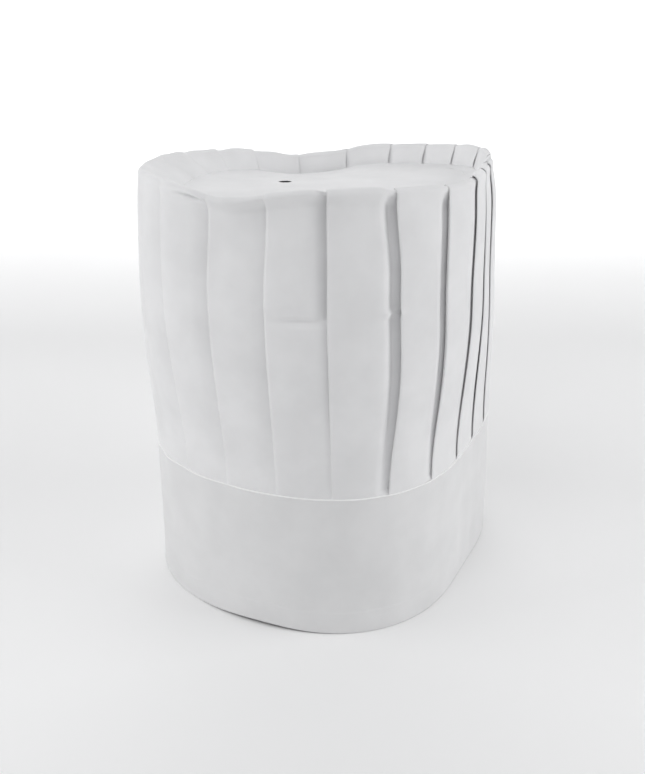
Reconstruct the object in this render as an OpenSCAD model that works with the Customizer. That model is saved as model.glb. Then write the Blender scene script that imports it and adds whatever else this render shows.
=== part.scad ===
// Pleated paper chef toque: a folded headband strip, a crown sheet laid in knife pleats and turned
// in over its top edge, a flat top panel with a vent hole, and a free band end that peels open at
// the back to set the head size. Millimetres, +Z up, front of the head towards -Y.

/* [Headband] */
// Mean radius of the band's outline
mean_radius = 97.9; // [92:0.1:102]
// Height of the headband strip
band_height = 79; // [60:1:90]
// Thickness of one paper ply
ply = 0.6; // [0.4:0.1:0.7]
// Height of the hem turned up inside the bottom edge
hem_height = 13; // [8:1:20]
// Height of the absorbent sweatband
sweatband_height = 33; // [20:1:40]

/* [Outline] */
// Lengthening front to back, as a share of the mean radius
oval_share = 0.079; // [0.05:0.001:0.1]
// Egg-shaped part of the outline, as a share of the mean radius
egg_share = 0.041; // [0:0.001:0.05]
// Direction of the egg's blunt end, in degrees
egg_turn = 85; // [60:1:120]
// Soft corners of the outline, as a share of the mean radius
corner_share = 0.0225; // [0:0.0005:0.03]
// Direction of the first soft corner, in degrees
corner_turn = 63; // [30:1:90]

/* [Crown] */
// Height of the whole toque
total_height = 230; // [200:1:300]
// Number of knife pleats around the crown
pleat_count = 22; // [16:1:26]
// How far a pleat's fold stands out from the next pleat
pleat_depth = 1.6; // [0.8:0.1:2.5]
// How far the crown draws in from the band to its rim
rim_inset = 3; // [1:0.1:6]
// Thickness of the folded crown wall
wall = 1.4; // [1.2:0.1:1.8]
// How far the crown is tucked in behind the band
tuck = 12; // [8:1:16]
// How far the crown sheet is turned down inside the rim
rim_turn = 14; // [10:1:20]
// Width of the crown's edge turned flat under the top panel
flange = 8; // [5:1:12]

/* [Top panel] */
// Thickness of the top panel
panel_ply = 0.8; // [0.6:0.1:1.2]
// Diameter of the vent hole
vent_d = 7; // [5:0.5:10]
// Vent hole's place across the panel
vent_x = -24.5; // [-40:0.5:40]
// Vent hole's place along the panel
vent_y = -15.5; // [-40:0.5:40]

/* [Size closure] */
// Angle where the free band end leaves the band
tab_root = 72; // [66:3:78]
// Angle where the free band end stops
tab_end = 108; // [105:3:120]
// Width of the hook and loop patches, in degrees around the band
patch_sweep = 18; // [9:3:21]
// Height of the hook and loop patches
patch_height = 40; // [25:1:50]

/* [Hidden] */

// Layers of the band, as offsets from its outer face
gap = 0.1;
glue_ply = 0.3;
thin_glue_ply = 0.2;
lining_gap = 0.4;
lining_ply = 0.5;
sweat_ply = 1;
hem_inner = -2 * ply;
tuck_outer = -ply - glue_ply - 2 * gap;
tuck_inner = tuck_outer - wall;
lining_low = hem_inner - gap;
lining_high = tuck_inner - lining_gap;
sweat_outer = lining_low - lining_ply - thin_glue_ply;
sweat_inner = sweat_outer - sweat_ply;
lining_foot = 3;
lining_top = band_height - 2;
sweat_foot = 5;

// Layers of the size closure, outside the band
patch_ply = 0.5;
moving_gap = 0.3;
tab_lift = 2 * patch_ply + moving_gap;
tab_ramp = 6;
tab_slit = 0.3;
tab_margin = 0.5;
patch_start = tab_end - patch_sweep - 3;
patch_z = (band_height - patch_height) / 2;
band_start = tab_root + tab_ramp;

// Heights in the crown
rim_z = total_height;
crown_rise = rim_z - band_height;
margin_z = rim_z - rim_turn;
panel_z = margin_z + glue_ply + 2 * gap;
rim_round = 3;
margin_ply = 1;

// Angles
angle_step = 3;
seam_angle = 96;
seam_sweep = 12;
first_pleat = 310.6;

paper_white = [0.93, 0.93, 0.94];
paper_inside = [0.9, 0.9, 0.91];
glue_clear = [0.85, 0.84, 0.78];
tissue_white = [0.95, 0.95, 0.95];

// ---- outline ----

function outline_radius(a) = mean_radius * (1
    + oval_share * cos(2 * (a - 90))
    + egg_share * cos(3 * (a - egg_turn))
    + corner_share * cos(4 * (a - corner_turn)));

function raw_point(a, offset) = (outline_radius(a) + offset) * [cos(a), sin(a)];

// Running arc length along the outline, to space the pleats evenly
arc_table = [for (a = 0, s = 0; a <= 720; s = s + norm(raw_point(a + 1, 0) - raw_point(a, 0)), a = a + 1)
    [s, a]];
arc_by_angle = [for (row = arc_table) [row[1], row[0]]];
arc_round = lookup(360, arc_by_angle);
pleat_pitch = arc_round / pleat_count;

// Each pleat is a low foot, its raised fold just past it, and points down to the next foot,
// as [share of the pitch, share of the step]
pleat_steps = [[0, 0], [0.05, 1], [0.28, 0.76], [0.52, 0.5], [0.76, 0.25]];
function pleat_angle(k, share) =
    lookup((lookup(first_pleat, arc_by_angle) + (k + share) * pleat_pitch) % arc_round, arc_table);

pleat_stations = [for (k = [0:pleat_count - 1], step = pleat_steps) [pleat_angle(k, step[0]), step[1]]];

// Outside of the crown above the band, as [height, offset, share of the pleat's step]
crown_outside = [
    [band_height + 0.5, tuck_outer, 0],
    [band_height + 5, 0.5 * tuck_outer, 0.5],
    [band_height + 0.2 * crown_rise, 0, 0.8],
    [band_height + 0.47 * crown_rise, -0.1 * rim_inset, 1],
    [band_height + 0.77 * crown_rise, -0.45 * rim_inset, 1],
    [rim_z - 14, -0.75 * rim_inset, 0.9],
    [rim_z - 6, -0.95 * rim_inset, 0.7],
    [rim_z - 1.5, -1.15 * rim_inset, 0.4]
];

// The free band end leaves the band at its root, rises over the other end and lies on the patches
tab_angles = concat([tab_root + tab_slit * 0.6], [for (a = [tab_root + angle_step:angle_step:tab_end]) a]);
function tab_offset(a) = -ply + (tab_lift + ply) * min(1, (a - tab_root) / tab_ramp);

// The outline is shifted so that the whole toque is centred on the origin
outermost = concat(
    [for (station = pleat_stations, level = crown_outside)
        raw_point(station[0], level[1] + level[2] * pleat_depth * station[1])],
    [for (a = tab_angles) raw_point(a, tab_offset(a) + ply)]
);
outermost_x = [for (p = outermost) p.x];
outermost_y = [for (p = outermost) p.y];
centre = [min(outermost_x) + max(outermost_x), min(outermost_y) + max(outermost_y)] / 2;

function at(a, offset) = raw_point(a, offset) - centre;
function lift(a, offset, z) = [at(a, offset).x, at(a, offset).y, z];

// ---- flat strips bent round the outline ----

// A wall between two offsets, over part of the outline
module strip(z0, z1, inner, outer, from, to) {
    angles = [for (a = [from:angle_step:to]) a];
    translate([0, 0, z0])
        linear_extrude(z1 - z0)
            polygon(concat([for (a = angles) at(a, outer)],
                           [for (i = [len(angles) - 1:-1:0]) at(angles[i], inner)]));
}

// The band's strips run once round, from under the free end to its root
module band_strip(z0, z1, inner, outer) {
    strip(z0, z1, inner, outer, band_start, tab_root + 360);
}

module outline_plate(z0, height, offset) {
    translate([0, 0, z0])
        linear_extrude(height)
            polygon([for (a = [0:angle_step:359]) at(a, offset)]);
}

// ---- swept sheets ----

// points[i][j] is profile point j at station i. The profile is a closed loop, up one side of the sheet
// and back down the other. The sweep closes on itself, or has flat ends where both sides of its profile
// have the same number of points.
module swept(points, closed) {
    n = len(points);
    m = len(points[0]);
    sides = [for (i = [0:n - (closed ? 1 : 2)], j = [0:m - 1])
        let (i2 = (i + 1) % n, j2 = (j + 1) % m)
        each [[i * m + j, i * m + j2, i2 * m + j2], [i * m + j, i2 * m + j2, i2 * m + j]]];
    last = (n - 1) * m;
    ends = [for (j = [0:m / 2 - 2])
        let (k = m - 1 - j)
        each [[k, k - 1, j + 1, j], [last + j, last + j + 1, last + k - 1, last + k]]];
    polyhedron([for (station = points, p = station) p], concat(sides, closed ? [] : ends), convexity = 8);
}

// ---- crown ----

// The sheet goes over the rim, down inside it and flat under the top panel's edge
rim_middle = -rim_inset - rim_round + 0.8;
margin_face = -rim_inset - 2 * rim_round;
crown_profile = concat(
    [[band_height - tuck, tuck_outer, 0]],
    crown_outside,
    [
        [rim_z, rim_middle, 0],
        [rim_z - 1.5, margin_face + 0.6, -0.3],
        [rim_z - 6, margin_face, -0.4],
        [margin_z + 1, margin_face - 0.8, -0.4],
        [margin_z, margin_face - 2, 0],
        [margin_z, margin_face - flange, 0],
        [margin_z - margin_ply, margin_face - flange, 0],
        [margin_z - margin_ply, margin_face - 0.4, 0],
        [rim_z - 6, margin_face + 1.4, 0],
        [rim_z - 2.6, rim_middle, 0]
    ],
    [for (i = [len(crown_outside) - 2:-1:1]) [crown_outside[i][0], crown_outside[i][1] - wall, 0]],
    [[band_height + 0.5, tuck_inner, 0], [band_height - tuck, tuck_inner, 0]]
);

module crown_wall() {
    color(paper_white)
        swept([for (station = pleat_stations)
            [for (p = crown_profile) lift(station[0], p[1] + p[2] * pleat_depth * station[1], p[0])]], true);
}

module crown_top() {
    color(paper_white)
        difference() {
            outline_plate(panel_z, panel_ply, margin_face - 2);
            translate([vent_x, vent_y, panel_z + panel_ply / 2])
                cylinder(h = 3 * panel_ply, d = vent_d, center = true, $fn = 48);
        }
}

// Bead that holds the top panel on the crown's flange
module top_glue_ring() {
    color(glue_clear)
        difference() {
            outline_plate(margin_z + gap, glue_ply, margin_face - 3);
            outline_plate(margin_z, 3 * glue_ply, margin_face - flange + 1);
        }
}

// Paper tape inside the crown, over the lapped ends of the crown sheet
tape_ply = 0.3;
tape_clear = 0.3;
tape_inside = [for (i = [2:5]) crown_outside[i] - [0, wall + tape_clear, 0]];
tape_profile = concat(tape_inside, [for (i = [3:-1:0]) tape_inside[i] - [0, tape_ply, 0]]);

module crown_seam_tape() {
    color(paper_inside)
        swept([for (a = [seam_angle:angle_step:seam_angle + seam_sweep])
            [for (p = tape_profile) lift(a, p[1], p[0])]], false);
}

// Bead between the crown's tucked edge and the band's outer ply
module crown_glue_line() {
    color(glue_clear)
        band_strip(band_height - 10, band_height - 4, -ply - gap - glue_ply, -ply - gap);
}

// ---- headband ----

module headband_outer() {
    color(paper_white)
        union() {
            band_strip(0, band_height, -ply, 0);
            band_strip(0, hem_height, hem_inner, -ply);
        }
}

// The lining lies against the hem below and steps in over the crown's tucked edge above
lining_face = [
    [lining_foot, lining_low],
    [band_height - tuck - 12, lining_low],
    [band_height - tuck - 2, lining_high],
    [lining_top, lining_high]
];
lining_profile = concat(lining_face, [for (i = [3:-1:0]) lining_face[i] - [0, lining_ply]]);

module headband_lining() {
    color(paper_inside)
        swept([for (a = [band_start:angle_step:tab_root + 360])
            [for (p = lining_profile) lift(a, p[1], p[0])]], false);
}

// Bead between the crown's tucked edge and the lining
module lining_glue_line() {
    color(glue_clear)
        band_strip(band_height - 9, band_height - 5, lining_high + gap / 2, tuck_inner - lining_gap / 2);
}

module sweatband() {
    color(tissue_white)
        band_strip(sweat_foot, sweat_foot + sweatband_height, sweat_inner, sweat_outer);
}

// Bead along the sweatband's upper edge, against the lining
module sweatband_glue_line() {
    color(glue_clear)
        band_strip(sweat_foot + sweatband_height - 7, sweat_foot + sweatband_height - 3,
                   sweat_outer + gap / 2, lining_low - lining_ply - gap / 2);
}

// ---- size closure at the back ----

module loop_patch() {
    color(tissue_white)
        strip(patch_z, patch_z + patch_height, 0, patch_ply, patch_start, patch_start + patch_sweep);
}

module hook_patch() {
    color(tissue_white)
        strip(patch_z, patch_z + patch_height, patch_ply + moving_gap, tab_lift,
              patch_start, patch_start + patch_sweep);
}

module size_tab() {
    color(paper_white)
        translate([0, 0, tab_margin])
            linear_extrude(band_height - 2 * tab_margin)
                polygon(concat([for (a = tab_angles) at(a, tab_offset(a) + ply)],
                               [for (i = [len(tab_angles) - 1:-1:0])
                                   at(tab_angles[i], tab_offset(tab_angles[i]))]));
}

headband_outer();
headband_lining();
sweatband();
crown_wall();
crown_top();
crown_seam_tape();
crown_glue_line();
lining_glue_line();
sweatband_glue_line();
top_glue_ring();
loop_patch();
size_tab();
hook_patch();
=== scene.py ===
"""The looks of the pleated paper toque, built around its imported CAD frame."""

import math

import bpy
import numpy as np
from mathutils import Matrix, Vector


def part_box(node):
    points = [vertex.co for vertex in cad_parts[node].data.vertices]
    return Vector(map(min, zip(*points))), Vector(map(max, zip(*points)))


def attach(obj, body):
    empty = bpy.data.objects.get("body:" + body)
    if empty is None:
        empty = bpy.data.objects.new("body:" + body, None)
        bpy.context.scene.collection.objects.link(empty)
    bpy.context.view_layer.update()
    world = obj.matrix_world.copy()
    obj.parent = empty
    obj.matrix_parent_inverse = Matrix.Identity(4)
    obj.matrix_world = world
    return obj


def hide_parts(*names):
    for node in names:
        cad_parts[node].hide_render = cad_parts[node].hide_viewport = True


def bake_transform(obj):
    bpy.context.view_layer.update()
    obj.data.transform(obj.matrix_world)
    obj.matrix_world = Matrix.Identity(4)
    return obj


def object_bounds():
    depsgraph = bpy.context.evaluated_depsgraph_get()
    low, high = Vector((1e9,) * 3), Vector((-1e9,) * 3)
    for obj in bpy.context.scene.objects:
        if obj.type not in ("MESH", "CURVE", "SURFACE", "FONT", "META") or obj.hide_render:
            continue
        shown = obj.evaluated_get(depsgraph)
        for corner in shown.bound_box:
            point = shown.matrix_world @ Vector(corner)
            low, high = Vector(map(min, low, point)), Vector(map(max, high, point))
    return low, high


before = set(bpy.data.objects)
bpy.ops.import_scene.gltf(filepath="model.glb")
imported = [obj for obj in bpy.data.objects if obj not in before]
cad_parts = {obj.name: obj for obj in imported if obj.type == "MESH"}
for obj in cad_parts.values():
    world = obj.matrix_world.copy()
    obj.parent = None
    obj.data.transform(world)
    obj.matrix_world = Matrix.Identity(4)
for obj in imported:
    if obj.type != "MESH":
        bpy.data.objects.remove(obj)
cad_low, cad_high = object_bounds()
MM = 0.001

# ---- the camera ----

CAMERA_TURN = 40.6          # degrees round the hat, from its front towards its left side
CAMERA_DOWN = 20.97         # degrees that the view looks down
CAMERA_PLACE = (0.32194, -0.38811, 0.2915)
CAMERA_LENS = 42.35

camera_data = bpy.data.cameras.new("camera")
camera_data.lens = CAMERA_LENS
camera_data.clip_start = 0.01
camera = bpy.data.objects.new("camera", camera_data)
camera.location = CAMERA_PLACE
camera.rotation_euler = (math.radians(90 - CAMERA_DOWN), 0, math.radians(CAMERA_TURN))
bpy.context.scene.collection.objects.link(camera)
bpy.context.scene.camera = camera

# ---- the hat's outline, by the same rule as its frame ----

MEAN_RADIUS = 97.9 * MM
OVAL = (0.079, 2, 90)       # share of the mean radius, waves round the outline, direction in degrees
EGG = (0.041, 3, 85)
CORNERS = (0.0225, 4, 63)
PLEATS = 22
FIRST_PLEAT = 310.6         # degrees
TAB_ROOT, TAB_END = 72, 108
BAND_START = 78             # the end of the band that the free end covers

band_low, band_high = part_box("headband_outer")
BAND_TOP = band_high.z
RIM = cad_high.z


def outline_radius(angle):
    """Radius of the band's outer face at an angle in radians."""
    shares = [share * np.cos(count * (angle - math.radians(direction)))
              for share, count, direction in (OVAL, EGG, CORNERS)]
    return MEAN_RADIUS * (1 + sum(shares))


# The outline in small steps, twice round so that a length may run past its start
STEPS_ROUND = 1440
turn = np.linspace(0, 4 * math.pi, 2 * STEPS_ROUND + 1)
ring = np.stack([outline_radius(turn) * np.cos(turn), outline_radius(turn) * np.sin(turn)], 1)
arc = np.concatenate([[0], np.cumsum(np.linalg.norm(np.diff(ring, axis=0), axis=1))])
ROUND = arc[STEPS_ROUND]    # length once round
PITCH = ROUND / PLEATS


def arc_of(degrees):
    """Length along the outline from +X to a direction in degrees."""
    return float(np.interp(math.radians(degrees % 360), turn, arc))


def angle_at(length):
    """Angle in radians at a length along the outline, which may run past one round."""
    rounds = np.floor(length / ROUND)
    return np.interp(length - rounds * ROUND, arc, turn) + rounds * 2 * math.pi


def smooth(x, low, high):
    """0 below low and 1 above high, with a soft step between."""
    t = np.clip((x - low) / (high - low), 0, 1)
    return t * t * (3 - 2 * t)


def hump(angle, centre, width):
    """1 at a direction in degrees, falling away round the hat."""
    apart = (angle - math.radians(centre) + math.pi) % (2 * math.pi) - math.pi
    return np.exp(-(apart / math.radians(width)) ** 2)


def waves(angle, z, seed, slowest, fastest, lean=10.0, count=7):
    """Smooth unevenness between about -1 and 1 that closes on itself round the hat."""
    rng = np.random.default_rng(seed)
    total = 0
    for _ in range(count):
        turns = rng.integers(slowest, fastest + 1)
        phase, tilt, size = rng.uniform(0, 2 * math.pi), rng.uniform(-lean, lean), rng.uniform(0.4, 1)
        total = total + size * np.sin(turns * angle + phase + tilt * z)
    return total / math.sqrt(count)


# From the outline's own centre to the frame's origin, so that the band's box is where the CAD has it
SHIFT = Vector(((band_low.x + band_high.x) / 2, (band_low.y + band_high.y) / 2))
once = ring[:STEPS_ROUND + 1]
SHIFT.x -= (once[:, 0].min() + once[:, 0].max()) / 2
SHIFT.y -= (once[:, 1].min() + once[:, 1].max()) / 2

# Where the rim stands higher or lower than its nominal height: direction, width, rise
RIM_SWAY = [(283, 13, -5.0 * MM), (354, 14, -1.2 * MM), (143, 17, -5.6 * MM), (126, 10, -2.2 * MM),
            (204, 22, 1.7 * MM), (66, 24, 3.2 * MM)]

# Heights in metres over which a shape comes in or fades again have names ending in OVER or FADES

# The whole crown leans a little to one side: direction in degrees, and how far at the rim
LEAN_TO, LEAN = 220, 3.9 * MM
LEAN_OVER = (0.066, 0.18)

# Where the crown stands out further than the band's own outline: direction, width, distance
CROWN_CORNERS = [(2, 26, 7.0 * MM), (266, 18, 3.2 * MM)]
CORNERS_OVER = (0.083, 0.168)

# Where the hat is drawn in at the band's top edge: direction, width, distance
WAIST = [(48, 28, 1.6 * MM)]
WAIST_OVER = (0.03, BAND_TOP)
WAIST_FADES = (0.1, 0.16)

# Where the band's bottom edge stands off the table: direction, width, rise
HEM_SWAY = [(288, 15, 1.7 * MM)]
HEM_SWAY_FADES = (0.0, 0.03)

# How far the paper strays in or out by itself, all the way up and in the crown alone
BODY_STRAY, CROWN_STRAY = 0.4 * MM, 0.5 * MM
BODY_STRAY_OVER, CROWN_STRAY_OVER = (-0.05, 0.1), (0.11, 0.2)

LEAN_ALONG = Vector((math.cos(math.radians(LEAN_TO)), math.sin(math.radians(LEAN_TO))))
TOP_MIDDLE = SHIFT + LEAN_ALONG * LEAN


def sway_of(angle, places):
    """The sum of a few humps, each given as direction, width and size."""
    return sum(rise * hump(angle, centre, width) for centre, width, rise in places)


def rim_sway(angle):
    """How much higher than its nominal height the rim stands."""
    return sway_of(angle, RIM_SWAY)


def place(angle, offset, z):
    """Points at an angle round the hat, at an offset from the band's outer face, with the paper's sway."""
    sway = BODY_STRAY * waves(angle, z, 11, 2, 6) * smooth(z, *BODY_STRAY_OVER)
    sway = sway + CROWN_STRAY * waves(angle, z, 12, 3, 8) * smooth(z, *CROWN_STRAY_OVER)
    grown = smooth(z, *CORNERS_OVER)
    radius = outline_radius(angle) + offset + sway + sway_of(angle, CROWN_CORNERS) * grown
    drawn_in = sway_of(angle, WAIST) * smooth(z, *WAIST_OVER) * (1 - smooth(z, *WAIST_FADES))
    radius = radius - drawn_in
    lean = LEAN * smooth(z, *LEAN_OVER)
    x = radius * np.cos(angle) + SHIFT.x + lean * LEAN_ALONG.x
    y = radius * np.sin(angle) + SHIFT.y + lean * LEAN_ALONG.y
    level = z + sway_of(angle, HEM_SWAY) * (1 - smooth(z, *HEM_SWAY_FADES))
    return np.stack(np.broadcast_arrays(x, y, level + 0 * x), -1)


# ---- meshes ----

def sheet_mesh(name, points, round_closed=False, profile_closed=False):
    """A mesh of quads through points[along][across]."""
    n, m = points.shape[:2]
    index = np.arange(n * m).reshape(n, m)
    i = np.arange(n if round_closed else n - 1)
    j = np.arange(m if profile_closed else m - 1)
    i, j = np.meshgrid(i, j, indexing="ij")
    i2, j2 = (i + 1) % n, (j + 1) % m
    quads = np.stack([index[i, j], index[i2, j], index[i2, j2], index[i, j2]], -1).reshape(-1, 4)
    faces = [tuple(int(v) for v in q) for q in quads]
    if profile_closed and not round_closed:
        faces.append(tuple(int(v) for v in index[0]))
        faces.append(tuple(int(v) for v in index[-1][::-1]))
    mesh = bpy.data.meshes.new(name)
    mesh.from_pydata(points.reshape(-1, 3).tolist(), [], faces)
    mesh.shade_smooth()
    made = bpy.data.objects.new(name, mesh)
    bpy.context.scene.collection.objects.link(made)
    return made


def thicken(obj, thickness, offset=-1.0):
    """Gives a sheet its paper thickness and keeps the result as its mesh."""
    solid = obj.modifiers.new("thickness", "SOLIDIFY")
    solid.thickness = thickness
    solid.offset = offset
    graph = bpy.context.evaluated_depsgraph_get()
    mesh = bpy.data.meshes.new_from_object(obj.evaluated_get(graph))
    obj.modifiers.clear()
    obj.data = mesh
    mesh.name = obj.name
    return obj


def curve_through(keys, steps):
    """Points on a smooth curve through a few key points, as many between keys as steps says."""
    keys = np.array(keys, float)
    padded = np.vstack([2 * keys[0] - keys[1], keys, 2 * keys[-1] - keys[-2]])
    points = []
    for k in range(len(keys) - 1):
        a, b, c, d = padded[k:k + 4]
        for t in np.linspace(0, 1, steps, endpoint=False):
            points.append(0.5 * (2 * b + (c - a) * t + (2 * a - 5 * b + 4 * c - d) * t ** 2
                                 + (3 * b - a - 3 * c + d) * t ** 3))
    points.append(keys[-1])
    return np.array(points)


def profile_normals(profile):
    """The direction out of the sheet's face at each point of a profile of [offset, z]."""
    along = np.gradient(profile, axis=0)
    along /= np.linalg.norm(along, axis=1)[:, None]
    return np.stack([along[:, 1], -along[:, 0]], 1)


# ---- the crown sheet, laid in knife pleats ----

PAPER = 0.25 * MM           # thickness of the crown's paper
RIM_ROUND = 2.3 * MM        # radius of the turn over the rim
WELL = 13.5 * MM            # depth of the top panel below the rim
UNDERLAP = 0.27             # how far a pleat's end runs under the next pleat, as a share of the pitch
FOLD_ROLL = 0.03            # width of a fold's rounded edge, as a share of the pitch
DEEP = 2 * MM               # where the sheet before a fold sinks further, it lies flat at the bottom
FACE, RETURN = 0, 1         # a pleat's outer face, and the part folded back under the next pleat

# The front pleats: number, the fold's lift and the depth of the sheet before it in millimetres,
# where the sheet before it turns in, how open it is at the band, and how much it closes at the rim
FRONT_PLEATS = [
    (19, 0.9, 0.25, 0.65, 0.3, 0.5), (20, 1.0, 0.4, 0.7, 0.3, 0.5), (21, 1.0, 0.5, 0.72, 0.3, 0.4),
    (0, 1.1, 0.6, 0.7, 0.3, 0.1), (1, 1.0, 3.8, 0.76, 0.4, 0.9), (2, 1.1, 2.4, 0.79, 0.4, 0.9),
    (3, 1.5, 0.2, 0.7, 0.7, 0.1), (4, 1.6, 0.2, 0.7, 0.7, 0.1), (5, 1.6, 0.3, 0.7, 0.6, 0.2),
]

# Where the folds stray along the outline higher up: direction, width, distance, from one height to another
FOLD_SLIP = [
    (15, 34, 3.2 * MM, 0.0, 0.01), (340, 20, 7.0 * MM, 0.075, 0.155), (8, 18, 5.0 * MM, 0.17, 0.225),
    (266, 20, -3.0 * MM, 0.09, 0.22), (327, 11, 3.0 * MM, 0.075, 0.15), (327, 11, -2.6 * MM, 0.19, 0.222),
    (118, 32, -12.0 * MM, 0.0, 0.01),
]

# The sheet before the first fold sinks deeper above a crease
HOLLOW = 1.7 * MM
HOLLOW_OVER = (0.1685, 0.173)

# Dents in the front pleats: direction, width, height, spread in height, depth
DENTS = [(304, 6, 0.1698, 0.0018, 2.2 * MM), (298, 7, 0.178, 0.003, -0.7 * MM),
         (329, 2.6, 0.172, 0.0016, -2.0 * MM), (290, 9, 0.212, 0.004, 0.5 * MM),
         (272, 3.2, 0.2256, 0.001, 3.0 * MM), (50, 22, 0.23, 0.013, 2.4 * MM)]

# The wall is pinched in under the front rim: direction, width and depth, then the distances
# below the rim over which the pinch comes in and fades again
PINCH_AT, PINCH_WIDTH, PINCH = 293, 22, 4.2 * MM
PINCH_OVER, PINCH_FADES = (0.001, 0.009), (0.012, 0.05)

# Where the margin turned in over the rim lies over further at its foot: direction, width, distance
MARGIN_LIES_OVER = [(220, 36, 15 * MM)]

# Where the pleats lie flatter inside the rim: direction, width, and the share of their depth they lose
CALM_AT, CALM_WIDTH, CALM = 195, 42, 0.75

# The wall's key points as [offset, height] in millimetres, closest where the front pleats are dented
WALL_KEYS = [
    (-1.1, 67), (-1.1, 74), (-0.95, 77.2), (-0.55, 78.6), (-0.42, 79.3), (-0.5, 82.5), (-0.62, 90),
    (-0.55, 105), (-0.5, 125), (-0.9, 150), (-1.18, 161), (-1.36, 166.5), (-1.5, 172), (-1.68, 177.5),
    (-1.92, 185), (-2.3, 195), (-2.8, 208), (-3.5, 218), (-3.7, 222), (-3.6, 224.6),
]


def crown_profile():
    """[offset, z] up the wall, over the rim, down inside it and flat under the top panel."""
    wall = [(offset * MM, z * MM) for offset, z in WALL_KEYS]
    centre = (-5.8 * MM, RIM - RIM_ROUND - 1.2 * MM)
    turns = [math.radians(degrees) for degrees in range(0, 181, 30)]
    over = [(centre[0] + RIM_ROUND * math.cos(t), centre[1] + RIM_ROUND * math.sin(t)) for t in turns]
    foot = RIM - WELL
    inside = [(-9.6 * MM, foot + 5 * MM), (-10.8 * MM, foot + 1 * MM), (-12.5 * MM, foot - 0.3 * MM),
              (-16 * MM, foot - 0.6 * MM), (-20 * MM, foot - 0.6 * MM)]
    return curve_through(wall + over + inside, 5)


def crown_shift(angle, z):
    """How far the rim's sway lifts a point of the crown."""
    return rim_sway(angle) * smooth(z, 0.13, RIM - 0.006)


def margin_slope(angle):
    """How much further inward than its edge at the rim the turned-in margin's foot stands."""
    return sway_of(angle, MARGIN_LIES_OVER)


def pleat_columns():
    """Each column of the folded sheet as (pleat, share of the pitch, role, share along a return)."""
    face = [0.002, 0.008, 0.016, 0.03, 0.06, 0.1, 0.17, 0.25, 0.34, 0.43, 0.52, 0.6, 0.67,
            0.73, 0.79, 0.84, 0.89, 0.93, 0.97, 1.01, 1.07, 1.14, 1.21]
    back = (0.0, 0.25, 0.5, 0.72, 0.88, 0.96, 1.0)
    columns = []
    for k in range(PLEATS):
        columns += [(k, share, FACE, 0.0) for share in face]
        columns += [(k, 1 + UNDERLAP * (1 - t), RETURN, t) for t in back]
    return np.array(columns)


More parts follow.
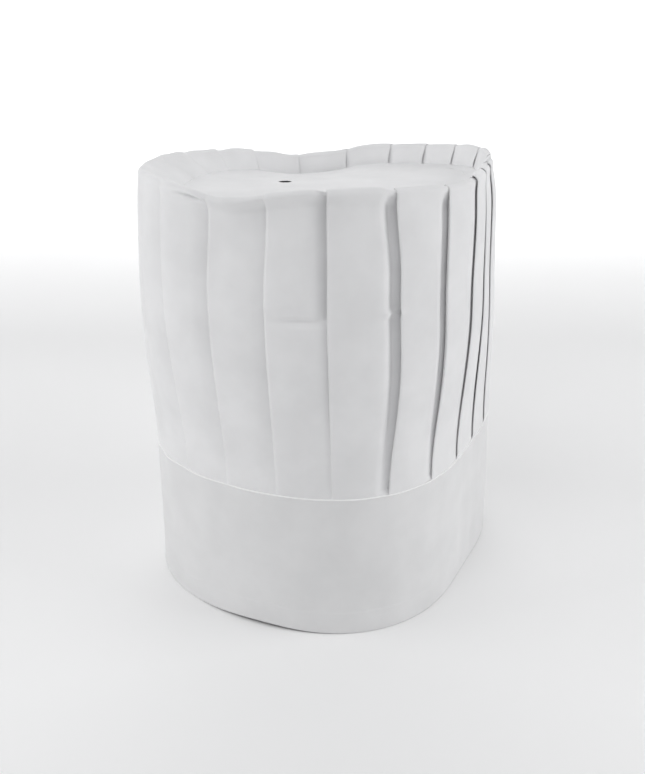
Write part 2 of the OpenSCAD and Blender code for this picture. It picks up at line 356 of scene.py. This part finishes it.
def crown_sheet():
    """The whole crown as one folded polyline, swept up the wall and in over the rim."""
    profile = crown_profile()
    normals = profile_normals(profile)
    columns = pleat_columns()
    rng = np.random.default_rng(5)
    lift = rng.uniform(1.1, 1.6, PLEATS) * MM
    dive = rng.uniform(0.3, 0.9, PLEATS) * MM
    arch = rng.uniform(0.25, 0.6, PLEATS) * MM
    corner = rng.uniform(0.6, 0.7, PLEATS)
    snug = rng.uniform(0.15, 0.3, PLEATS)
    fold_angles = angle_at(arc_of(FIRST_PLEAT) + np.arange(PLEATS) * PITCH)
    calm = 1 - CALM * hump(fold_angles, CALM_AT, CALM_WIDTH)
    drawn = rng.uniform(0.5, 0.7, PLEATS)
    # The pleats at the front lie differently: some gape, some lie close
    for k, fold_lift, fold_dive, turn_in, at_band, at_rim in FRONT_PLEATS:
        lift[k], dive[k], corner[k - 1] = fold_lift * MM, fold_dive * MM, turn_in
        snug[k], drawn[k] = at_band, at_rim

    z = profile[None, :, 1]
    step = np.arange(len(profile))[None, :]
    rim_row = int(np.argmax(profile[:, 1]))
    inside = step > rim_row
    height = RIM - z

    def openness(k):
        """A fold is tight at the band, open up the wall, drawn in at the rim and pressed at its foot."""
        at_band = snug[k] * (0.2 + 0.8 * smooth(z, BAND_TOP - 0.0005, BAND_TOP + 0.003))
        wall_side = at_band + (1 - snug[k]) * smooth(z, BAND_TOP, 0.15)
        wall_side = wall_side * (1 - drawn[k] * (1 - smooth(height, 0.001, 0.011)))
        well_side = calm[k] * (0.4 + 0.6 * smooth(height, 0.002, 0.009))
        pressed = 0.6 * inside * smooth(height, WELL - 0.003, WELL)
        return np.where(inside, well_side, wall_side) * (1 - pressed)

    pleat = columns[:, 0].astype(int)[:, None]
    share, role, run = (columns[:, c][:, None] for c in (1, 2, 3))
    following = (pleat + 1) % PLEATS
    here, after = lift[pleat] * openness(pleat), lift[following] * openness(following)
    hollow = HOLLOW * (following == 0) * smooth(z, *HOLLOW_OVER)
    sunk = (dive[following] + hollow) * openness(following) * np.where(inside, 0.5, 1.0)
    past = np.clip((share - corner[pleat]) / (1 - corner[pleat]), 0, 1)
    fall = 0.2 * share + 0.8 * np.where(dive[following] > DEEP, smooth(past, 0, 0.6), past ** 1.5)
    face = -sunk + (here + sunk) * (1 - np.clip(fall, 0, 1))
    face = face + arch[pleat] * openness(pleat) * np.sin(math.pi * np.clip(share, 0, 1))
    face = face - 0.15 * MM * smooth(share, 1.0, 1 + UNDERLAP)
    face = face - 0.4 * MM * (1 - np.clip(share / FOLD_ROLL, 0, 1)) ** 2
    low = -sunk - 0.05 * MM
    steep = np.where(dive[following] > DEEP, 5, 1.25)
    back = low + (after - 0.45 * MM * smooth(run, 0.0, 0.6) - low) * run ** steep
    back = back + 0.45 * MM * smooth(run, 0.9, 1.0) * 0.4
    rise = np.where(role == FACE, face, back)

    length = arc_of(FIRST_PLEAT) + (pleat + share) * PITCH
    angle = angle_at(length)
    for centre, width, slip, low, high in FOLD_SLIP:
        angle = angle + slip / MEAN_RADIUS * hump(angle, centre, width) * smooth(z, low, high)
    angle = angle + 0.6 * MM / MEAN_RADIUS * waves(angle, z, 21, 2, 9, lean=16)
    rise = rise + 0.28 * MM * waves(angle, z, 22, 14, 40, lean=30, count=10) * smooth(z, 0.08, 0.11)
    rise = rise + 0.22 * MM * waves(angle, z, 23, 6, 20, lean=70, count=8) * smooth(z, 0.08, 0.13)
    pinch = hump(angle, PINCH_AT, PINCH_WIDTH) * smooth(height, *PINCH_OVER)
    pinch = pinch * (1 - smooth(height, *PINCH_FADES)) * ~inside
    rise = rise - PINCH * pinch
    for centre, width, level, spread, depth in DENTS:
        rise = rise - depth * hump(angle, centre, width) * np.exp(-((z - level) / spread) ** 2) * ~inside

    offset = profile[None, :, 0] + normals[None, :, 0] * rise
    offset = offset - margin_slope(angle) * smooth(height, 0.0, WELL) * inside
    level = z + normals[None, :, 1] * rise + crown_shift(angle, z)
    made = sheet_mesh("crown_sheet", place(angle, offset, level), round_closed=True)
    thicken(made, PAPER)
    return made


crown = crown_sheet()
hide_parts("crown_wall")
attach(crown, "hat")


# ---- the top panel, sunk below the rim, with its vent hole ----

VENT = Vector((-0.0245, -0.0155))
VENT_RADIUS = 3.5 * MM
PANEL_EDGE = -10.8 * MM     # offset of the panel's edge
PANEL_SLOPE = 0.975         # share of the margin's lie-over that the panel's edge follows
PANEL_LIFT = 0.6 * MM       # how far the panel lies above the well's foot


def top_level(x, y):
    """Height of the slack, slightly crumpled top panel, which follows the rim's sway at its edge."""
    angle = np.arctan2(y - TOP_MIDDLE.y, x - TOP_MIDDLE.x)
    edge = outline_radius(angle) - 11 * MM - margin_slope(angle) + sway_of(angle, CROWN_CORNERS)
    out = np.hypot(x - TOP_MIDDLE.x, y - TOP_MIDDLE.y) / edge
    slack = 1.1 * MM * np.sin(31 * x + 12 * y + 0.6) + 0.8 * MM * np.sin(-22 * x + 44 * y + 2.2)
    fine = 0.25 * MM * np.sin(120 * x + 61 * y) + 0.2 * MM * np.sin(-85 * x + 143 * y + 1.0)
    level = RIM - WELL + PANEL_LIFT + (slack + fine) * (1 - smooth(out, 0.7, 0.9))
    return level + rim_sway(angle) * out ** 3 + 0.7 * MM * smooth(out, 0.96, 1.0)


def top_sheet():
    """Rings of points from the vent hole's edge out to the crease against the inner wall."""
    around, rings = 264, 46
    angle = np.linspace(0, 2 * math.pi, around, endpoint=False)
    edge = place(angle, PANEL_EDGE - PANEL_SLOPE * margin_slope(angle), RIM - WELL)[:, :2]
    centre = np.array(VENT)
    hole = centre + VENT_RADIUS * np.stack([np.cos(angle), np.sin(angle)], 1)
    points = []
    for t in np.concatenate([[0, 0.004, 0.012], np.linspace(0.03, 1, rings)]):
        ring_points = hole + (edge - hole) * t
        level = top_level(ring_points[:, 0], ring_points[:, 1])
        points.append(np.column_stack([ring_points, level]))
    made = sheet_mesh("top_sheet", np.array(points[::-1]).transpose(1, 0, 2), round_closed=True)
    return thicken(made, PAPER)


top = top_sheet()
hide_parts("crown_top")
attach(top, "hat")


# ---- strips bent round the hat ----

def strip_angles(start, end, step=0.6):
    """Angles in radians from one direction in degrees to another, evenly along the strip."""
    return np.radians(np.linspace(start, end, int(round((end - start) / step)) + 1))


def strip_points(angles, profile, bend=None):
    """A profile of [offset, z] swept through the angles; bend adds to its offset."""
    offset = profile[None, :, 0] + (0 if bend is None else bend(angles[:, None], profile[None, :, 1]))
    return place(angles[:, None], offset, profile[None, :, 1])


ROUND_FROM, ROUND_TO = BAND_START, TAB_ROOT + 360
BAND_PAPER = 0.3 * MM
HEM_TOP = 13 * MM
HEM_OFFSET = -0.84 * MM     # offset of the plies turned in behind the face
FOLD = 0.42 * MM            # radius of the band's folded edges
TOP_FOLD = 0.6 * MM         # and of its top edge, which stands out a little past its face


def fold_over(offset, z, start, end, radius):
    """Points round a folded edge, between two directions in degrees."""
    return [(offset + radius * math.cos(math.radians(t)), z + radius * math.sin(math.radians(t)))
            for t in np.linspace(start, end, 7)]


def band_profile():
    """Down the hem, round the bottom edge, up the outside, over the top edge and down inside it."""
    hem = [(HEM_OFFSET, z) for z in (HEM_TOP, HEM_TOP - 0.3 * MM, 9 * MM, 5 * MM, 2 * MM)]
    bottom = fold_over(-FOLD, FOLD + 0.1 * MM, 180, 360, FOLD)
    heights = (2, 4, 7, 10, 11.6, 12.3, 12.8, 13.2, 13.8, 15, 18, 23, 29, 35, 41, 47, 53, 59, 65,
               70, 74, 76.2, 77.2)
    outside = [(0.0, z * MM) for z in heights]
    top_edge = fold_over(-0.33 * MM, BAND_TOP - TOP_FOLD, -20, 180, TOP_FOLD)
    turned_in = [(-0.85 * MM, BAND_TOP - depth * MM) for depth in (2, 4, 7)]
    return np.array(hem + bottom + outside + top_edge + turned_in)


def band_bend(angle, z):
    """The band's own unevenness, and the hem's edge showing through the outer ply."""
    loose = 1 - 0.7 * hump(angle, (TAB_ROOT + TAB_END) / 2, 32)
    dents = 0.34 * MM * loose * waves(angle, z, 31, 12, 34, lean=55, count=9) * smooth(z, 0.0, 0.012)
    hem_edge = 0.22 * MM * (1 - smooth(z, HEM_TOP - 0.7 * MM, HEM_TOP + 0.4 * MM))
    return dents + hem_edge


band_angles = strip_angles(ROUND_FROM, ROUND_TO, 0.5)
band = sheet_mesh("band_sheet", strip_points(band_angles, band_profile(), band_bend))
thicken(band, BAND_PAPER)
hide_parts("headband_outer")
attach(band, "hat")

LINING_PAPER = 0.22 * MM
lining_keys = [(-1.5, 3), (-1.5, 20), (-1.6, 45), (-1.9, 58), (-2.7, 66), (-2.9, 72), (-2.9, 77)]
lining_profile = curve_through([(offset * MM, z * MM) for offset, z in lining_keys], 6)


def lining_bend(angle, z):
    """The lining's slight unevenness."""
    return 0.12 * MM * waves(angle, z, 41, 10, 30, lean=60)


lining_angles = strip_angles(ROUND_FROM, ROUND_TO)
lining = sheet_mesh("lining_sheet", strip_points(lining_angles, lining_profile, lining_bend))
thicken(lining, LINING_PAPER)
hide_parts("headband_lining")
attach(lining, "hat")


def closed_strip(name, inner, outer, low, high, start, end, corner, across=9, bend=None, step=0.6):
    """A strip with a real thickness and rounded long edges."""
    middle, half = (inner + outer) / 2, (outer - inner) / 2
    rise = np.linspace(low + corner, high - corner, across)
    outside = [(outer, z) for z in rise]
    inside = [(inner, z) for z in rise[::-1]]
    over = [(middle + half * math.cos(t), high - corner + corner * math.sin(t))
            for t in np.linspace(0, math.pi, 9)[1:-1]]
    under = [(middle - half * math.cos(t), low + corner - corner * math.sin(t))
             for t in np.linspace(0, math.pi, 9)[1:-1]]
    profile = np.array(outside + over + inside + under)
    points = strip_points(strip_angles(start, end, step), profile, bend)
    return sheet_mesh(name, points, profile_closed=True)


SWEAT_LOW, SWEAT_HIGH = 5 * MM, 38 * MM


def quilting(angle, z):
    """The sweatband's soft embossed rows, and its slightly wavy lie against the lining."""
    length = angle * MEAN_RADIUS
    along = np.abs(np.sin(math.pi * length / (5 * MM))) ** 0.5
    puff = along * np.abs(np.sin(math.pi * z / (5.5 * MM))) ** 0.5
    return 0.1 * MM * waves(angle, z, 51, 8, 26, lean=60) - 0.18 * MM * puff


sweat = closed_strip("sweatband_strip", -2.75 * MM, -2.05 * MM, SWEAT_LOW, SWEAT_HIGH, ROUND_FROM, ROUND_TO,
                     corner=0.4 * MM, across=42, bend=quilting, step=0.35)
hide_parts("sweatband")
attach(sweat, "hat")


# ---- glue beads ----

HALF_BEAD = 0.07 * MM       # half of a bead's thickness


def bead_bend(angle, z):
    """A bead's slight unevenness."""
    return 0.02 * MM * waves(angle, z, 61, 20, 60)


def bead(name, node, middle, low, high, start, end):
    """A flattened run of glue that lies a little unevenly."""
    made = closed_strip(name, middle - HALF_BEAD, middle + HALF_BEAD, low, high, start, end,
                        corner=0.1 * MM, across=4, bend=bead_bend)
    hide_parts(node)
    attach(made, "hat")
    return made


beads = [
    bead("crown_glue", "crown_glue_line", -0.98 * MM, 69 * MM, 71.5 * MM, ROUND_FROM, ROUND_TO),
    bead("lining_glue", "lining_glue_line", -2.5 * MM, 70 * MM, 74 * MM, ROUND_FROM, ROUND_TO),
    bead("sweatband_glue", "sweatband_glue_line", -1.93 * MM, 31 * MM, 35 * MM, ROUND_FROM, ROUND_TO),
]


def top_glue():
    """The ring of glue between the crown's flange and the top panel's edge."""
    angle = np.linspace(0, 2 * math.pi, 240, endpoint=False)
    section = [(-19, 0.0), (-19, 0.16), (-18, 0.2), (-15, 0.2), (-14, 0.16), (-14, 0.0)]
    rows = []
    for offset, thick in section:
        flat = place(angle, offset * MM - margin_slope(angle), RIM - WELL)
        flat[:, 2] = top_level(flat[:, 0], flat[:, 1]) - PAPER - (0.32 - thick) * MM
        rows.append(flat)
    points = np.array(rows[::-1]).transpose(1, 0, 2)
    return sheet_mesh("top_glue", points, round_closed=True, profile_closed=True)


beads.append(top_glue())
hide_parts("top_glue_ring")
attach(beads[-1], "hat")

# ---- tape inside the crown, over the lapped ends of the crown sheet ----

TAPE_FROM, TAPE_TO = 96, 108
TAPE_PAPER = 0.15 * MM
tape_keys = [(-3.3, 92), (-3.1, 108), (-3.0, 130), (-3.2, 155), (-3.8, 178), (-4.6, 196)]
tape_profile = curve_through([(offset * MM, z * MM) for offset, z in tape_keys], 6)
tape_profile[:, 0] -= 0.9 * MM


def tape_bend(angle, z):
    """The tape's slight unevenness."""
    return 0.15 * MM * waves(angle, z, 71, 20, 50, lean=50)


tape = sheet_mesh("seam_tape", strip_points(strip_angles(TAPE_FROM, TAPE_TO), tape_profile, tape_bend))
thicken(tape, TAPE_PAPER)
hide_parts("crown_seam_tape")
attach(tape, "hat")

# ---- the free end of the band, and its hook and loop patches ----

PATCH_FROM, PATCH_TO = TAB_END - 21, TAB_END - 3
patch_low, patch_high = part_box("loop_patch")
TAB_RISEN = TAB_ROOT + 7    # the direction where the free end has risen clear of the band
TAB_RISE, TAB_CURL = 1.62 * MM, 0.7 * MM
TAB_INSET = 0.6 * MM        # how far its long edges stop short of the table and of the band's top


def tab_lift(angle, z):
    """The free end leaves the band level with it, rises over the other end and lies on the patches."""
    degrees = np.degrees(angle)
    rise = TAB_RISE * smooth(degrees, TAB_ROOT, TAB_RISEN)
    curl = TAB_CURL * smooth(degrees, TAB_END - 4, TAB_END)
    return rise + curl + band_bend(angle, z) * (1 - smooth(degrees, TAB_ROOT, TAB_RISEN))


def tab_rows():
    """The free end's profile, which runs as the band's does."""
    hem = [(HEM_OFFSET, z * MM) for z in (13, 9, 4, 1.6)]
    bottom = fold_over(-FOLD, FOLD + TAB_INSET, 180, 360, FOLD)
    heights = np.concatenate([[2.2, 4, 8, 11.6, 12.6, 13.4], np.linspace(16, 74, 22)])
    outside = [(0.0, z * MM) for z in heights]
    top_edge = fold_over(-FOLD, BAND_TOP - FOLD - TAB_INSET, 0, 180, FOLD)
    turned_in = [(HEM_OFFSET, BAND_TOP - depth * MM) for depth in (2.4, 4.5, 7)]
    return np.array(hem + bottom + outside + top_edge + turned_in)


tab_profile = tab_rows()
tab = sheet_mesh("tab_sheet", strip_points(strip_angles(TAB_ROOT, TAB_END, 0.3), tab_profile, tab_lift))
thicken(tab, BAND_PAPER)
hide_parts("size_tab")
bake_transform(tab)


def patch_sheet(name, face, depth, nap_height, nap_pitch, bend=None):
    """A patch with rounded corners and a napped face, depth thick on the face's other side."""
    angles = strip_angles(PATCH_FROM, PATCH_TO, 0.2)
    middle, half = (patch_low.z + patch_high.z) / 2, (patch_high.z - patch_low.z) / 2
    across = (angles - angles.mean()) * MEAN_RADIUS
    corner = 4 * MM
    past = np.clip(np.abs(across) - across.max() + corner, 0, corner)
    inset = corner - np.sqrt(corner ** 2 - past ** 2)
    level = middle + np.linspace(-1, 1, 101)[None, :] * (half - inset)[:, None]
    nap = np.sin(across[:, None] * 2 * math.pi / nap_pitch) * np.sin(level * 2 * math.pi / nap_pitch)
    offset = face + nap_height * nap + (0 if bend is None else bend(angles[:, None], level))
    made = sheet_mesh(name, place(angles[:, None], offset, level))
    return thicken(made, abs(depth), offset=math.copysign(1, depth))


BAND_FACE = 0.05 * MM       # where the loop patch's back meets the band's outer ply
loops = patch_sheet("loop_pad", BAND_FACE + 0.5 * MM, -0.4 * MM, 0.06 * MM, 1.3 * MM, band_bend)
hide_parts("loop_patch")
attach(loops, "hat")

hooks = patch_sheet("hook_pad", BAND_FACE + 0.75 * MM, 0.4 * MM, -0.06 * MM, 1.0 * MM)
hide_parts("hook_patch")
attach(hooks, "size_tab")


# ---- materials ----

class Shader:
    """A node material: short names for the few nodes that the paper and tissue need."""

    def __init__(self, name, colour, roughness):
        self.material = bpy.data.materials.new(name)
        self.material.use_nodes = True
        self.tree = self.material.node_tree
        self.surface = self.tree.nodes["Principled BSDF"]
        self.surface.inputs["Base Color"].default_value = (*colour, 1)
        self.surface.inputs["Roughness"].default_value = roughness
        self.colour = colour
        self.coordinates = self.tree.nodes.new("ShaderNodeTexCoord").outputs["Object"]

    def node(self, kind, inputs=None, **settings):
        """A new node with its settings, whose inputs are values or the outputs of other nodes."""
        made = self.tree.nodes.new(kind)
        for name, value in settings.items():
            setattr(made, name, value)
        for name, value in (inputs or {}).items():
            if hasattr(value, "is_output"):
                self.tree.links.new(value, made.inputs[name])
            else:
                made.inputs[name].default_value = value
        return made

    def stretched(self, scale):
        """The object's own coordinates, scaled along each axis."""
        mapping = self.node("ShaderNodeMapping", {"Vector": self.coordinates, "Scale": scale})
        return mapping.outputs["Vector"]

    def noise(self, scale, detail=3.0, stretch=(1, 1, 1), roughness=0.55):
        """Cloudy noise between 0 and 1; a larger scale is finer."""
        return self.node("ShaderNodeTexNoise", {
            "Vector": self.stretched(stretch), "Scale": scale, "Detail": detail, "Roughness": roughness,
        }).outputs["Fac"]

    def tint(self, factor, dark, light, low=0.35, high=0.65):
        """The base colour, mixed between a darker and a lighter share of itself."""
        ramp = self.node("ShaderNodeValToRGB", {"Fac": factor})
        ends = ramp.color_ramp.elements
        ends[0].position, ends[1].position = low, high
        ends[0].color = (*[c * dark for c in self.colour], 1)
        ends[1].color = (*[min(1, c * light) for c in self.colour], 1)
        self.tree.links.new(ramp.outputs["Color"], self.surface.inputs["Base Color"])

    def paint_edge_highlight(self, level):
        """A painted highlight: the paper's colour turns whiter above a height, standing in for the light
        that the folded top edge catches.
        """
        height = self.node("ShaderNodeSeparateXYZ", {"Vector": self.coordinates}).outputs["Z"]
        limits = {"Value": height, "From Min": level, "From Max": level + 0.3 * MM}
        share = self.node("ShaderNodeMapRange", limits)
        base = self.surface.inputs["Base Color"]
        mix = self.node("ShaderNodeMix", data_type="RGBA")
        self.tree.links.new(share.outputs["Result"], mix.inputs["Factor"])
        self.tree.links.new(base.links[0].from_socket, mix.inputs["A"])
        mix.inputs["B"].default_value = EDGE_HIGHLIGHT_WHITE
        self.tree.links.new(mix.outputs["Result"], base)

    def vary_roughness(self, factor, low, high):
        """Roughness between low and high, as a noise says."""
        spread = self.node("ShaderNodeMapRange", {"Value": factor, "To Min": low, "To Max": high})
        self.tree.links.new(spread.outputs["Result"], self.surface.inputs["Roughness"])

    def bump(self, *layers):
        """Bumps stacked on each other, each (height, strength, depth in metres)."""
        normal = None
        for height, strength, depth in layers:
            inputs = {"Height": height, "Strength": strength, "Distance": depth}
            if normal is not None:
                inputs["Normal"] = normal
            normal = self.node("ShaderNodeBump", inputs).outputs["Normal"]
        self.tree.links.new(normal, self.surface.inputs["Normal"])


PAPER_WHITE = (0.867, 0.867, 0.873)
BAND_WHITE = (0.825, 0.825, 0.828)
# The colour of the painted highlight along the band's folded top edge
EDGE_HIGHLIGHT_WHITE = (0.98, 0.98, 0.98, 1)


def paper(name, colour, mottle=0.03, fibre=0.00006, highlight_from=None):
    """Soft matte paper: a cloudy formation, fine fibres along the sheet and a faint tooth."""
    shader = Shader(name, colour, 0.85)
    cloud = shader.noise(38, detail=4)
    shader.tint(cloud, 1 - mottle, 1 + mottle * 0.4)
    if highlight_from is not None:
        # Painted highlight: the paper is coloured whiter above this height, along the folded top edge
        shader.paint_edge_highlight(highlight_from)
    fibres = shader.noise(520, detail=3, stretch=(1, 1, 0.35))
    tooth = shader.noise(1500, detail=2)
    creases = shader.noise(46, detail=2, stretch=(1, 1, 0.3), roughness=0.4)
    shader.vary_roughness(fibres, 0.78, 0.93)
    shader.bump((creases, 0.35, 0.0006), (fibres, 0.5, fibre), (tooth, 0.4, fibre * 0.5))
    shader.surface.inputs["Specular IOR Level"].default_value = 0.3
    shader.surface.inputs["Sheen Weight"].default_value = 0.12
    shader.surface.inputs["Sheen Roughness"].default_value = 0.6
    return shader.material


def tissue(name, colour, scale=900, depth=0.00025):
    """Absorbent creped tissue or a brushed loop face."""
    shader = Shader(name, colour, 0.95)
    crepe = shader.noise(scale, detail=4, stretch=(1, 1, 2.2))
    shader.tint(shader.noise(60, detail=3), 0.95, 1.03)
    shader.vary_roughness(crepe, 0.88, 1.0)
    shader.bump((shader.noise(160, detail=2), 0.4, 0.0005), (crepe, 0.8, depth))
    shader.surface.inputs["Sheen Weight"].default_value = 0.3
    shader.surface.inputs["Sheen Roughness"].default_value = 0.5
    return shader.material


def hook_plastic():
    """The nylon hook face: rows of tiny hooks on a woven back."""
    shader = Shader("hook_plastic", (0.8, 0.8, 0.79), 0.5)
    hooks_seen = shader.node("ShaderNodeTexVoronoi", {"Vector": shader.coordinates, "Scale": 900.0})
    shader.tint(hooks_seen.outputs["Distance"], 0.8, 1.05, 0.1, 0.6)
    shader.vary_roughness(hooks_seen.outputs["Distance"], 0.4, 0.65)
    shader.bump((hooks_seen.outputs["Distance"], 0.9, 0.0004))
    return shader.material


def glue():
    """Dried white glue: smooth, slightly yellow and a little uneven."""
    shader = Shader("glue", (0.78, 0.76, 0.66), 0.4)
    lumps = shader.noise(300, detail=2)
    shader.tint(lumps, 0.9, 1.05)
    shader.vary_roughness(lumps, 0.3, 0.5)
    shader.bump((lumps, 0.5, 0.0002))
    return shader.material


def dress(material, *objects):
    """Gives each object the material alone."""
    for obj in objects:
        obj.data.materials.clear()
        obj.data.materials.append(material)


dress(paper("crown_paper", PAPER_WHITE, mottle=0.04), crown, top)
# The band's paper carries a painted highlight along its folded top edge, above this height
dress(paper("band_paper", BAND_WHITE, mottle=0.035, highlight_from=BAND_TOP - TOP_FOLD), band, tab)
dress(paper("lining_paper", (0.84, 0.84, 0.84)), lining, tape)
dress(tissue("absorbent_tissue", (0.84, 0.84, 0.82)), sweat)
dress(tissue("loop_fabric", (0.85, 0.85, 0.85), scale=1400, depth=0.0004), loops)
dress(hook_plastic(), hooks)
dress(glue(), *beads)

# ---- floor, light ----

TO_RIGHT = Vector((math.cos(math.radians(CAMERA_TURN)), math.sin(math.radians(CAMERA_TURN)), 0))
TO_BACK = Vector((-math.sin(math.radians(CAMERA_TURN)), math.cos(math.radians(CAMERA_TURN)), 0))
FLOOR_FRONT, FLOOR_BACK, FLOOR_SIDE = -3.0, 2.2, 6
SWEEP = 0.8                 # radius of the floor's turn up into the wall
WALL_BACK, WALL_TOP = 3.0, 4.5
SKY_COLOUR, SKY_STRENGTH = (0.98, 0.985, 1.0, 1), 0.37


def floor():
    """A pale floor that sweeps up behind the hat."""
    flat = [(FLOOR_FRONT, 0.0), (FLOOR_BACK, 0.0)]
    sweep = [(FLOOR_BACK + SWEEP * math.sin(t), SWEEP - SWEEP * math.cos(t))
             for t in np.linspace(0, math.pi / 2, 13)]
    rows = [[TO_RIGHT * side + TO_BACK * back + Vector((0, 0, up)) for side in (-FLOOR_SIDE, FLOOR_SIDE)]
            for back, up in flat + sweep[1:] + [(WALL_BACK, WALL_TOP)]]
    made = sheet_mesh("floor", np.array(rows)[::-1])
    shader = Shader("floor", (0.95, 0.95, 0.95), 0.9)
    shader.tint(shader.noise(3, detail=2), 0.99, 1.01)
    dress(shader.material, made)


def soft_light(name, right, back, up, size, power, colour=(1, 1, 1), aim=(0, 0, 0.12)):
    """A square soft box, placed in metres to the view's right, towards its back and up; power in watts."""
    data = bpy.data.lights.new(name, "AREA")
    data.shape = "SQUARE"
    data.size = size
    data.energy = power
    data.color = colour
    made = bpy.data.objects.new(name, data)
    made.location = TO_RIGHT * right + TO_BACK * back + Vector((0, 0, up))
    made.rotation_mode = "QUATERNION"
    made.rotation_quaternion = (Vector(aim) - made.location).to_track_quat("-Z", "Y")
    bpy.context.scene.collection.objects.link(made)


floor()
soft_light("left_box", -1.3, -0.15, 0.7, 0.9, 5.2)
soft_light("right_box", 1.3, -0.2, 0.6, 0.9, 6.5)
soft_light("front_box", -0.6, -0.9, 1.5, 0.8, 4.2)
soft_light("top_box", 0.0, -0.3, 1.7, 1.2, 2.2)
soft_light("backdrop_box", 0.0, 1.3, 2.2, 2.4, 70.0, aim=(-1.95, 2.28, 1.5))
world = bpy.data.worlds.new("studio")
world.use_nodes = True
world.node_tree.nodes["Background"].inputs["Color"].default_value = SKY_COLOUR
world.node_tree.nodes["Background"].inputs["Strength"].default_value = SKY_STRENGTH
bpy.context.scene.world = world
bpy.context.scene.view_settings.view_transform = "Standard"
